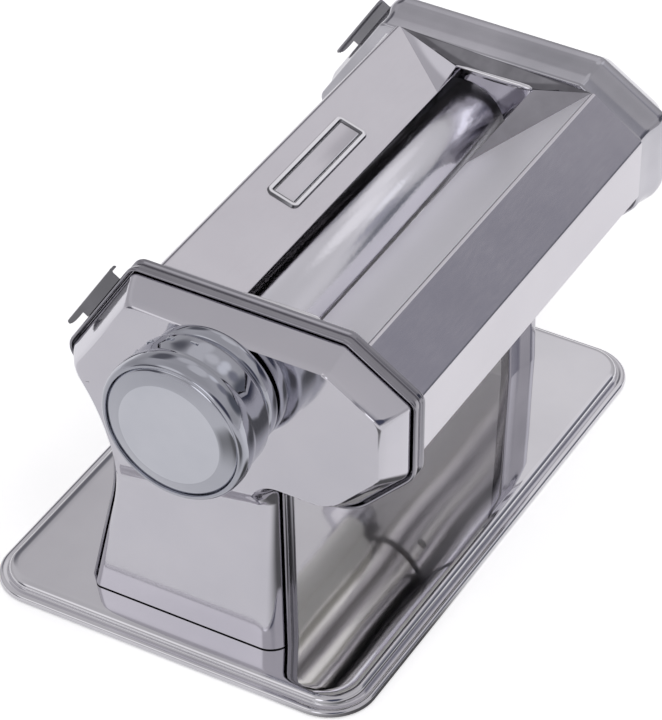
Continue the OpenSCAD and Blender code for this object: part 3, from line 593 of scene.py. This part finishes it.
def casing(name, sign, replaced):
    """Dished outer casing: head and leg in one, with the leg's face set back."""
    bm = bmesh.new()
    loops = []
    for (hx, hd), (lx, ld), soft in zip(HEAD_WALL, LEG_WALL, CORNER_SOFT):
        rear_d = WALL_FOOT + (ld - WALL_FOOT) * REAR_DEPTH
        head, leg, leg_rear = (outline(inset(FRAME_CORNERS, d, soft), 10, RUN_CUTS)
                               for d in (hd, ld, rear_d))
        row = []
        for a, b, c in zip(head, leg, leg_rear):
            b = b.lerp(c, clamp((b.x - REAR_Y) / REAR_RUN))
            s = head_share((a.x + b.x) / 2, (a.y + b.y) / 2)
            p = b.lerp(a, s)
            row.append((sign * (lx + (hx - lx) * s), p.x, p.y))
        loops.append(row)
    loft(bm, loops, caps=(False, True))
    # cut the face across the neck, so that the soft step has points to bend at
    for k in range(15):
        cut(bm, CREASE_Z - 3 + k, CREASE_NORMAL)
    # then set the points of the face, and those close to it, on the stepped face
    outward = set()
    for f in bm.faces:
        if abs(f.normal.x) > 0.5 and abs(f.calc_center_median().x) > LEG_FACE - 0.5:
            outward.update(f.verts)
    for v in bm.verts:
        x = abs(v.co.x)
        if x > LEG_FACE - 0.05:
            face = LEG_FACE + (HEAD_FACE - LEG_FACE) * head_share(v.co.y, v.co.z)
            if x > face - 0.02 or v in outward and abs(x - face) < 0.6:
                v.co.x = sign * face
    cut_below(bm, BASE_TOP + CASING_FOOT)
    piece(name, bm, "frame", CASE_STEEL, [replaced], angle=50)


casing("left_casing", -1, "left_cover")
casing("right_casing", 1, "right_cover")

# ---------------------------------------------------------------- folded guards

GUARD_SHEET = 0.8
FRONT_PATH = [(-37.7, 127.4, 0), (-35.75, 131.4, 0.5), (-68.3, 151.4, 1.8), (-88.8, 136.4, 1.8),
              (-88.7, 111.7, 1.4), (-84.9, 110.7, 0)]
HEM = on_slope(SLOPE_LENGTH - 8.2, -4.4)
REAR_PATH = [(HEM[0] - 3.6, HEM[1] + 0.6, 0), (*HEM, 1.2), (12.7, 154.4, 2.2), (-15.3, 145.7, 0)]


def guard(name, path, replaced):
    """Sheet folded along a path, from web to web."""
    profile = strip(open_path(path), GUARD_SHEET)
    ends = (-LEFT_WEB + WEB_GAP, RIGHT_WEB - WEB_GAP)
    bm = bmesh.new()
    loft(bm, [[(x, p.x, p.y) for p in profile] for x in ends])
    return piece(name, bm, "frame", PANEL, [replaced], bevel=0.15, flats=True)


front_panel = guard("front_panel", FRONT_PATH, "front_guard")
front_panel.data.materials.append(SATIN)
for face in front_panel.data.polygons:
    if face.normal.y > 0.35 and face.normal.z > 0.3:     # the hopper's front slope
        face.material_index = 1
guard("rear_panel", REAR_PATH, "rear_guard")

BADGE_Y = -1.4
# inset and height: a flat rim, bright by painted highlight, a groove and a lip
BADGE_PROFILE = [
    (0.0, -0.1), (0.35, 0.6), (0.5, 0.85), (0.75, 0.92), (1.55, 0.92), (1.8, 0.85), (1.95, 0.6),
    (2.3, 0.0), (2.45, 0.0), (2.7, 0.3), (3.0, 0.4)]


def badge(name):
    """Plain badge on the rear slope: a raised double rim round a bare sunk panel."""
    bm = bmesh.new()
    place = Matrix.Translation(Vector((-6.5, BADGE_Y, height_on(REAR_SLOPE, BADGE_Y))))
    place = place @ Matrix.Rotation(REAR_TILT, 4, "X")
    corners = round_box(26.5, 6.7, 2.6)
    loft(bm, [[(p.x, p.y, z) for p in outline(inset(corners, d), 8)] for d, z in BADGE_PROFILE],
         caps=(False, True))
    bm.transform(place)
    o = piece(name, bm, "frame", TRIM_HIGHLIGHT_STEEL, angle=40)
    o.data.materials.append(PANEL)
    o.data.materials.append(RAIL_SHADE_STEEL)
    # the rim's near white steel is a painted highlight; the sunk panel takes the panel steel, and
    # the groove's steep walls take the dark rail steel as painted shade
    out = place.to_3x3() @ Vector((0, 0, 1))
    for face in o.data.polygons:
        if len(face.vertices) > MANY_SIDES:
            face.material_index = 1
        elif face.normal.dot(out) < 0.75:
            face.material_index = 2


badge("badge_frame")

# ---------------------------------------------------------------- hopper ends

LIFT = 0.12                     # of the facets' edges off the guards' slopes
HOLLOW = 2.6                    # depth of the hollow behind the fold
FOLD_Y, FOLD_RISE = -15.1, 2.8  # rear end of the fold, and its height over the rear slope
FOLD_FRONT = (-46.4, 148.8)     # front end of the fold, y and z
WEB_FRONT_Y, WEB_REAR_Y = -67.4, 11.2   # ends of the hollow at the side plate
FOOT_Y = -36.2                  # front lower corner of the end plate
NOTCH = 16.75                   # radius of the end plate's edge round the roller
NOTCH_RISE = 0.36               # of its middle over the regulator's axis
NOTCH_FRONT_Y, NOTCH_REAR_Y = -35.4, -13.5      # where that edge ends
PLATE_SHEET = 0.7
BEAD = ((0.0, 0.15), (0.04, 0.5), (0.15, 0.8), (0.5, 0.95), (0.85, 1.15), (0.96, 1.0), (1.0, 0.3))


def fold_bead(name, sign, start, end):
    """Pinched bead from start to end, with radii by BEAD."""
    bm = bmesh.new()
    along = (end - start).normalized()
    across = Vector((1, 0, 0))
    lifted = across.cross(along) * (1 if across.cross(along).z > 0 else -1)
    loops = []
    for t, r in BEAD:
        mid = start.lerp(end, t) + lifted * 0.35
        turns = [k * math.pi / 6 for k in range(12)]
        ring = [mid + (across * math.cos(a) + lifted * math.sin(a)) * r for a in turns]
        loops.append([(sign * q.x, q.y, q.z) for q in ring])
    loft(bm, loops)
    # the bead's near white steel is a painted highlight
    piece(name, bm, "frame", TRIM_HIGHLIGHT_STEEL, angle=60)


def hopper_end(name, sign, x_in, x_out, reach, front_reach, replaced):
    """End plate round the roller, a pinched fold along its top, and a smooth hollow behind it.

    reach and front_reach are how far its facets run in on the rear and the front slope.
    """
    rear = height_on(REAR_SLOPE, FOLD_Y)
    foot = height_on(FRONT_SLOPE, FOOT_Y) + LIFT
    rear_tip = Vector((x_in - reach, FOLD_Y, rear + LIFT))
    fold_rear = Vector((x_in, FOLD_Y, rear + FOLD_RISE))
    fold_front = Vector((x_in, *FOLD_FRONT))
    web_front = Vector((x_out, WEB_FRONT_Y, height_on(FRONT_SLOPE, WEB_FRONT_Y) + LIFT))
    web_rear = Vector((x_out, WEB_REAR_Y, height_on(REAR_SLOPE, WEB_REAR_Y) + LIFT))
    front_tip = Vector((x_in - front_reach, FOOT_Y, foot))
    plate_foot = Vector((x_in, FOOT_Y, foot))
    bm = bmesh.new()

    def vert(p):
        return bm.verts.new((sign * p.x, p.y, p.z))
    # the hollow between the fold and the side plate, over a grid
    steps = 14
    grid = []
    for i in range(steps + 1):
        u = i / steps
        row = []
        for j in range(steps + 1):
            v = j / steps
            p = fold_rear.lerp(fold_front, v).lerp(web_rear.lerp(web_front, v), u)
            p.z -= HOLLOW * math.sin(math.pi * v) ** 0.7 * math.sin(math.pi * u ** 0.6)
            row.append(vert(p))
        grid.append(row)
    for r0, r1 in zip(grid, grid[1:]):
        for k in range(steps):
            bm.faces.new((r0[k], r0[k + 1], r1[k + 1], r1[k]))
    # flat facets down the two slopes, with corners of their own so that their edges stay crisp
    down = Vector((0, 0, -0.02))
    bm.faces.new([vert(p + down) for p in (rear_tip, fold_rear, web_rear)])
    bm.faces.new([vert(p + down) for p in (fold_front, front_tip, web_front)])
    bm.faces.new([vert(p + down * 2) for p in (fold_front, plate_foot, front_tip)])
    fold_bead(name + "_bead", sign, fold_rear, fold_front)
    # end plate with its concave edge round the roller
    corner = vert(plate_foot)
    cy, cz = SHAFT[0], SHAFT[1] + NOTCH_RISE
    steps = 26
    a0 = math.atan2(plate_foot.z - cz, NOTCH_FRONT_Y - cy) % (2 * math.pi)
    a1 = math.atan2(rear - 2.5 - cz, NOTCH_REAR_Y - cy)
    turns = [a0 + (a1 - a0) * k / steps for k in range(steps + 1)]
    arc = [bm.verts.new((sign * x_in, cy + NOTCH * math.cos(a), cz + NOTCH * math.sin(a)))
           for a in turns]
    bm.faces.new([corner] + arc + grid[0])
    o = piece(name, bm, "frame", STEEL, [replaced], angle=24)
    o.data.materials.append(HOLLOW_SHADE_STEEL)
    o.data.materials.append(FACET_REFLECTION_STEEL)
    # the hollow's grid is of squares and takes the dark steel, painted shade; the facets on the
    # front slope are triangles and take the darker facet steel, painted dark reflection
    for face in o.data.polygons:
        low = min(o.data.vertices[k].co.z for k in face.vertices)
        sides = len(face.vertices)
        if sides == 4 and face.normal.z > 0.4 and abs(face.center.x) > x_in * MM and low > 0.144:
            face.material_index = 1
        elif sides == 3 and face.center.y < -0.035:
            face.material_index = 2
    m = o.modifiers.new("sheet", "SOLIDIFY")
    m.thickness, m.offset = PLATE_SHEET * MM, -1
    round_edges(o, 0.3, 24)


hopper_end("left_hopper_fold", -1, 84.2, LEFT_WEB - WEB_GAP, 3.0, 4.0, "left_hopper_end")
hopper_end("right_hopper_fold", 1, 73.0, RIGHT_WEB - WEB_GAP, 14.5, 30.7, "right_hopper_end")

# ---------------------------------------------------------------- rollers

# profiles of turned pieces are (x, radius)
ROLLER_PROFILE = [
    (-88.5, 8.0), (-88.5, 14.2), (-88.3, 14.5), (-88.0, 14.7), (76.6, 14.7), (76.9, 14.5),
    (77.1, 14.2), (77.1, 9.5), (90.0, 9.5), (90.0, 8.0)]
bm = bmesh.new()
lathe(bm, ROLLER_PROFILE, *ROLLER, closed=True)
piece("adjustable_roller_skin", bm, "roller", GROUND, ["adjustable_roller"], angle=40)

# ---------------------------------------------------------------- knob

KNOB_PROFILE = [
    (108.3, 7.2), (108.3, 23.6), (108.5, 24.4), (109.2, 24.9), (110.5, 25.0), (112.6, 24.9),
    (113.5, 24.5), (114.0, 23.9), (114.2, 23.4), (115.7, 23.4), (115.9, 24.0), (116.3, 24.9),
    (117.0, 26.0), (117.8, 26.7), (118.8, 27.0), (124.0, 27.1), (127.4, 27.2), (128.2, 27.35),
    (129.2, 27.8), (130.4, 28.15), (132.0, 28.3), (134.6, 28.25), (135.8, 28.0), (136.7, 27.5),
    (137.3, 26.8), (137.5, 26.2), (137.4, 25.85), (137.0, 25.7), (136.0, 25.68), (135.6, 25.1),
    (118.4, 25.1), (114.4, 21.0), (114.3, 9.5), (118.3, 9.5), (118.3, 7.2)]
CAP_PROFILE = [
    (135.5, 0), (135.5, 25.2), (136.1, 25.45), (136.6, 25.35), (136.95, 25.0), (137.2, 24.5),
    (137.45, 23.8), (137.75, 22.9), (138.05, 22.0), (138.35, 21.1), (138.62, 20.3), (138.8, 19.6),
    (138.9, 18.9), (138.95, 18.0), (138.99, 15.2), (139.03, 12.0), (139.06, 8.0), (139.09, 4.0),
    (139.1, 0)]
CAP_FLAT = 19.5                 # radius of the cap's flat middle
bm = bmesh.new()
lathe(bm, KNOB_PROFILE, *SHAFT, sign=-1, closed=True)
# the knob's side takes a darker chrome: painted dark reflection
piece("knob_body", bm, "knob", KNOB_SIDE_SHADE, ["regulator_knob"], angle=35)
bm = bmesh.new()
lathe(bm, CAP_PROFILE, *SHAFT, sign=-1)
cap = piece("knob_face", bm, "knob", KNOB, ["knob_cap"], angle=35)
cap.data.materials.append(KNOB_RING_SHADE)
# beyond the cap's flat middle, its ring takes a darker chrome: painted dark reflection
for face in cap.data.polygons:
    away = math.hypot(face.center.y - SHAFT[0] * MM, face.center.z - SHAFT[1] * MM)
    if away > CAP_FLAT * MM:
        face.material_index = 1

NUMBER_X, NUMBER_SIZE = 121.2, 4.0
NUMBER_RADIUS = 27.2            # of the band that the numbers stand on
STOPS, STOP_ANGLE = 7, 20       # of the regulator, in degrees from the uppermost


def digit(text, angle):
    """A small number standing proud of the knob's band, bent round it."""
    cu = bpy.data.curves.new("number_" + text, "FONT")
    cu.body, cu.size, cu.extrude = text, NUMBER_SIZE * MM, 0.2 * MM
    cu.align_x, cu.align_y = "CENTER", "CENTER"
    cu.bevel_depth, cu.bevel_resolution = 0.08 * MM, 1
    tmp = to_scene("number_" + text, cu)
    bpy.context.view_layer.update()
    me = bpy.data.meshes.new_from_object(tmp)
    bpy.data.objects.remove(tmp)
    for v in me.vertices:
        x, y, h = v.co
        a = angle + y / (NUMBER_RADIUS * MM)
        r = NUMBER_RADIUS * MM + h
        v.co = (x - NUMBER_X * MM,
                SHAFT[0] * MM + r * math.cos(a), SHAFT[1] * MM + r * math.sin(a))
    me.materials.clear()
    me.materials.append(KNOB)
    o = to_scene("number_" + text, me)
    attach(o, "knob")


for k in range(STOPS):
    digit(str(k + 1), math.radians(90 - STOP_ANGLE * k))

# ---------------------------------------------------------------- camera, fitted to the photograph

CAMERA_PLACE = (-0.9857, -0.5522, 0.9548)
back = Vector((-0.68364, -0.38041, 0.62284)).normalized()
up = Vector((0.54196, 0.30696, 0.78234))
right = up.cross(back).normalized()
up = back.cross(right).normalized()
cam_data = bpy.data.cameras.new("camera")
cam = to_scene("camera", cam_data)
cam.matrix_world = Matrix([*zip(right, up, back, CAMERA_PLACE), (0, 0, 0, 1)])
cam_data.sensor_width, cam_data.lens = 36.0, 194.7
cam_data.clip_start, cam_data.clip_end = 0.05, 20.0
bpy.context.scene.camera = cam
bpy.context.scene.view_settings.view_transform = "Standard"

# ---------------------------------------------------------------- the room that the steel mirrors

# grey of the room by height: position on the ramp and brightness
ROOM = [(0.0, 0.62), (0.10, 0.50), (0.30, 0.46), (0.55, 0.56), (0.72, 0.56), (0.90, 0.50)]
# round cards and soft boxes laid over it in this order, each as azimuth, elevation, and the
# radius of its full and of its faded edge in degrees, and its colour
CARDS = [
    (29, 38, 8, 20, (0.52, 0.51, 0.53)),
    (18, 37, 6, 12, (0.72, 0.71, 0.73)),
    (-37, 32, 4, 10, (0.28, 0.28, 0.325)),
    (-21, 38, 1, 8, (0.86, 0.86, 0.9)),
    (-138, 20, 12, 24, (0.07, 0.075, 0.11)),
    (-3, 51, 8, 14, (0.76, 0.75, 0.77)),
    (-44, 14, 8, 17, (0.13, 0.135, 0.16)),
    (-34, 8, 2, 3.5, (1.3, 1.3, 1.35)),
    (44, 28, 5, 15, (0.15, 0.15, 0.17)),
    (151, 34, 8, 18, (0.92, 0.91, 0.93)),
    (137, 4, 9, 17, (0.12, 0.12, 0.14)),
    (-176, 12, 8, 12, (1.4, 1.4, 1.45))]


def toward(azimuth, elevation):
    a, h = math.radians(azimuth), math.radians(elevation)
    return (math.cos(h) * math.cos(a), math.cos(h) * math.sin(a), math.sin(h))


world = bpy.data.worlds.new("studio")
bpy.context.scene.world = world
world.use_nodes = True
t = world.node_tree
t.nodes.clear()
co = node(t, "ShaderNodeTexCoord", -2400).outputs["Generated"]
sep = node(t, "ShaderNodeSeparateXYZ", -2200)
t.links.new(co, sep.inputs[0])
ramp = node(t, "ShaderNodeValToRGB", -2000)
t.links.new(sep.outputs["Z"], ramp.inputs["Fac"])
while len(ramp.color_ramp.elements) < len(ROOM):
    ramp.color_ramp.elements.new(0.5)
for stop, (place, v) in zip(ramp.color_ramp.elements, ROOM):
    stop.position, stop.color = place, (v, v * 0.985, v * 1.02, 1)
mirrored = ramp.outputs["Color"]
for k, (azimuth, elevation, full, faded, colour) in enumerate(CARDS):
    dot = node(t, "ShaderNodeVectorMath", -1700 + 300 * k, -300, operation="DOT_PRODUCT")
    t.links.new(co, dot.inputs[0])
    dot.inputs[1].default_value = toward(azimuth, elevation)
    edge = (math.cos(math.radians(faded)), math.cos(math.radians(full)))
    part = remap(t, dot.outputs["Value"], edge, (0.0, 1.0), -1600 + 300 * k, -100, smooth=True)
    mix = node(t, "ShaderNodeMix", -1500 + 300 * k, 100, data_type="RGBA")
    t.links.new(part, mix.inputs[0])
    t.links.new(mirrored, mix.inputs[6])
    mix.inputs[7].default_value = (*colour, 1)
    mirrored = mix.outputs[2]
# the camera itself sees plain white
room = node(t, "ShaderNodeBackground", 2100, -100, Strength=1.0)
t.links.new(mirrored, room.inputs["Color"])
white = node(t, "ShaderNodeBackground", 2100, 200, Strength=1.0)
white.inputs["Color"].default_value = (1, 1, 1, 1)
path = node(t, "ShaderNodeLightPath", 2100, 600)
seen = node(t, "ShaderNodeMixShader", 2400)
t.links.new(path.outputs["Is Camera Ray"], seen.inputs[0])
t.links.new(room.outputs[0], seen.inputs[1])
t.links.new(white.outputs[0], seen.inputs[2])
out = node(t, "ShaderNodeOutputWorld", 2600)
t.links.new(seen.outputs[0], out.inputs[0])

# ---------------------------------------------------------------- lamps

LAMP_TARGET = (0, 0, 0.08)


def area(name, place, size, watts):
    """A soft lamp that lights the floor and the parts, and isn't mirrored in the steel."""
    d = bpy.data.lights.new(name, "AREA")
    d.shape, d.size, d.size_y, d.energy = "RECTANGLE", size[0], size[1], watts
    o = to_scene(name, d)
    o.location = place
    o.rotation_euler = (Vector(place) - Vector(LAMP_TARGET)).to_track_quat("Z", "Y").to_euler()
    o.visible_glossy = False


area("key", (-0.5, -1.0, 1.8), (0.9, 0.6), 7)
area("fill", (1.5, 1.6, 1.0), (0.3, 1.0), 3)

# ---------------------------------------------------------------- floor

FLOOR_TONE, FLOOR_GLOW = 0.9, 0.52      # colour and emission that the camera sees
bm = bmesh.new()
bmesh.ops.create_grid(bm, x_segments=1, y_segments=1, size=3.0)
me = bpy.data.meshes.new("floor")
bm.to_mesh(me)
bm.free()
floor = to_scene("floor", me)
floor_material = bpy.data.materials.new("floor_m")
floor_material.use_nodes = True
t = floor_material.node_tree
shader = t.nodes["Principled BSDF"]
shader.inputs["Roughness"].default_value = 0.9
shader.inputs["Emission Color"].default_value = (1, 1, 1, 1)
co = node(t, "ShaderNodeTexCoord", -900).outputs["Object"]
sep = node(t, "ShaderNodeSeparateXYZ", -700)
t.links.new(co, sep.inputs[0])


def floor_shade_patch(place, source, target, y):
    """Brightness that grows from target[0] to target[1] with the distance from a place."""
    n = node(t, "ShaderNodeVectorMath", -700, y, operation="DISTANCE")
    t.links.new(co, n.inputs[0])
    n.inputs[1].default_value = place
    return remap(t, n.outputs["Value"], source, target, -500, y, smooth=True)


# Painted shade, seen only in what the steel mirrors: the floor is darker on the knob's side, and
# in two patches: one out beside the knob, and one by the leg's front.
side = remap(t, sep.outputs["X"], (-0.25, 0.05), (0.11, 0.34), -500, 0, smooth=True)
shade_beside_knob = floor_shade_patch((-0.35, -0.18, 0), (0.08, 0.19), (0.06, 0.9), -300)
shade_by_leg = floor_shade_patch((-0.085, -0.10, 0), (0.03, 0.075), (0.12, 1.0), -550)
tone = combine(t, "MULTIPLY", shade_beside_knob, shade_by_leg, -380, -400)
shaded_glow = combine(t, "MULTIPLY", side, shade_by_leg, -380, 0)
path = node(t, "ShaderNodeLightPath", -500, 300).outputs["Is Camera Ray"]
for value, plain, socket, y in ((shaded_glow, FLOOR_GLOW, "Emission Strength", 100),
                                (tone, FLOOR_TONE, "Base Color", -300)):
    pick = node(t, "ShaderNodeMix", -250, y, data_type="FLOAT")
    t.links.new(path, pick.inputs[0])
    t.links.new(value, pick.inputs[2])
    pick.inputs[3].default_value = plain
    t.links.new(pick.outputs[0], shader.inputs[socket])
me.materials.append(floor_material)
